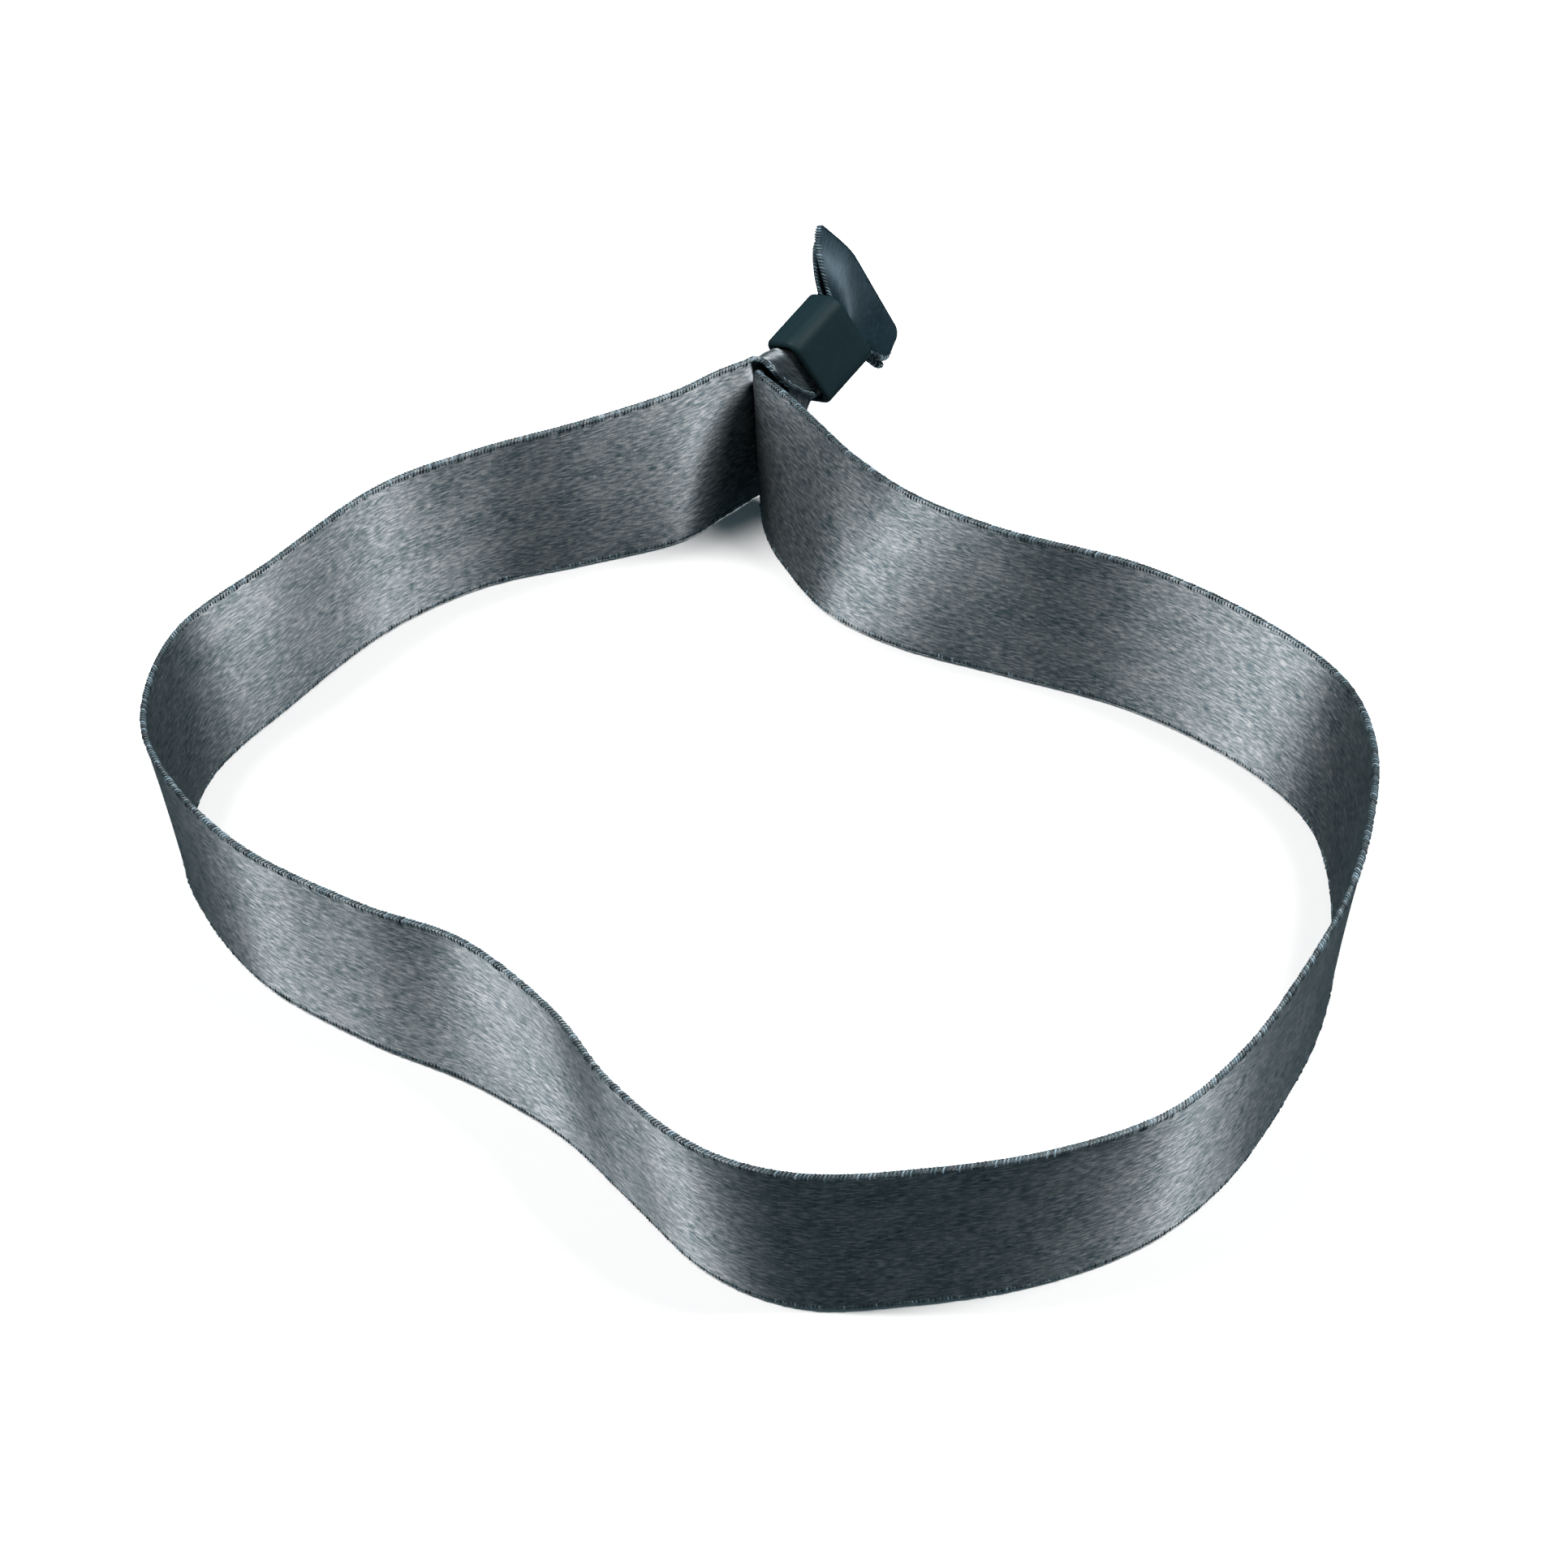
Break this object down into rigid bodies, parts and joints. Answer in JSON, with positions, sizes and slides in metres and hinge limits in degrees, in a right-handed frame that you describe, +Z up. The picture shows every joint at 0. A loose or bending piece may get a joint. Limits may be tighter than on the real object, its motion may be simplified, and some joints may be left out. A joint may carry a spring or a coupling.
{
  "type": "ribbon wristband",
  "caption": "Satin ribbon wristband standing on edge in an open loop, its two ends gathered through a moulded slide closure and ending in short cut tails.",
  "frame": {"origin": "centre of the whole wristband in plan, on the surface that the ribbon's lower edge stands on", "axes": "+Z up across the ribbon's width, +Y towards the closure, +X to the right seen from the loop's front"},
  "size_m": [0.0984, 0.1127, 0.0202],
  "materials": {
    "ribbon": "charcoal satin weave, sheen along the ribbon",
    "closure": "black moulded, slightly satin"
  },
  "bodies": {
    "ribbon": {"ribbon_loop": "ribbon", "ribbon_neck_left": "ribbon", "ribbon_neck_right": "ribbon", "ribbon_gather_left": "ribbon", "ribbon_gather_right": "ribbon", "ribbon_tail_left": "ribbon", "ribbon_tail_right": "ribbon"},
    "closure": {"closure_sleeve": "closure", "closure_teeth": "closure"}
  },
  "joints": [
    {"name": "closure_slide", "type": "slide", "parent": "ribbon", "child": "closure", "axis": [0.6147, 0.7326, 0.2924], "range_m": [0, 0.0033], "deforming": ["ribbon_tail_left", "ribbon_tail_right"]}
  ]
}
